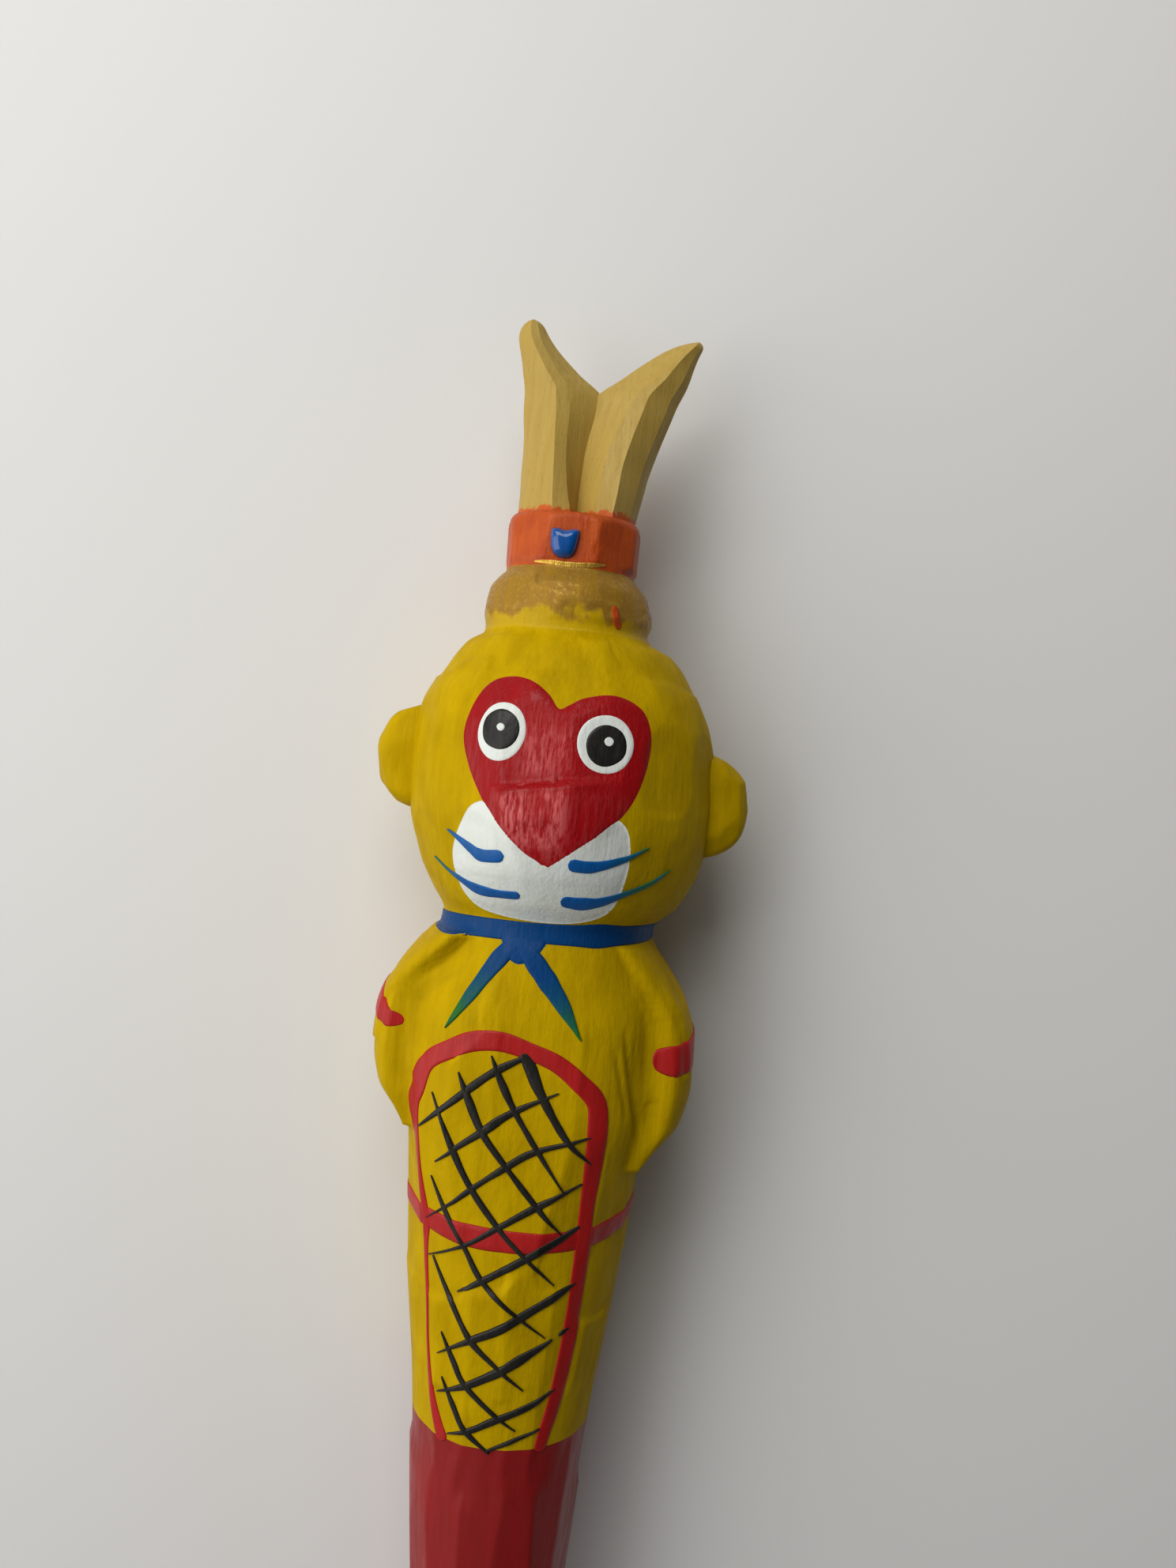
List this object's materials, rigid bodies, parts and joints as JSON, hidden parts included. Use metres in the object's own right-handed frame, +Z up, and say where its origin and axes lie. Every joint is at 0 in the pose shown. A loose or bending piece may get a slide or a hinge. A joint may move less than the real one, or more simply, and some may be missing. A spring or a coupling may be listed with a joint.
{
  "type": "carved wooden ballpoint pen",
  "caption": "Hand-carved and painted wooden ballpoint pen topped by a crowned monkey figure; the refill pulls out of the blind bore and the writing ball turns in its socket.",
  "frame": {"origin": "on the table under the middle of the pen, where it lies on its planed back", "axes": "+Y along the pen from the writing tip to the crown, +Z up from the table through the face, +X to the viewer's right"},
  "size_m": [0.0281, 0.1784, 0.0195],
  "materials": {
    "painted_wood": "semi-gloss hand-brushed paint on carved wood",
    "blue_enamel": "thick glossy enamel drop",
    "clear_tube": "milky polypropylene",
    "ink": "blue-black ink paste",
    "tip_metal": "turned brass",
    "ball_metal": "polished hard metal"
  },
  "bodies": {
    "carving": {"carved_body": "painted_wood", "headband_jewel": "blue_enamel"},
    "refill": {"ink_tube": "clear_tube", "ink_column": "ink", "refill_tip": "tip_metal"},
    "ball": {"writing_ball": "ball_metal"}
  },
  "joints": [
    {"name": "refill_slide", "type": "slide", "parent": "carving", "child": "refill", "axis": [0, -1, 0], "range_m": [0, 0.096]},
    {"name": "ball_roll", "type": "hinge", "parent": "refill", "child": "ball", "pos_m": [0, -0.08875, 0.0084], "axis": [1, 0, 0], "continuous": true}
  ]
}
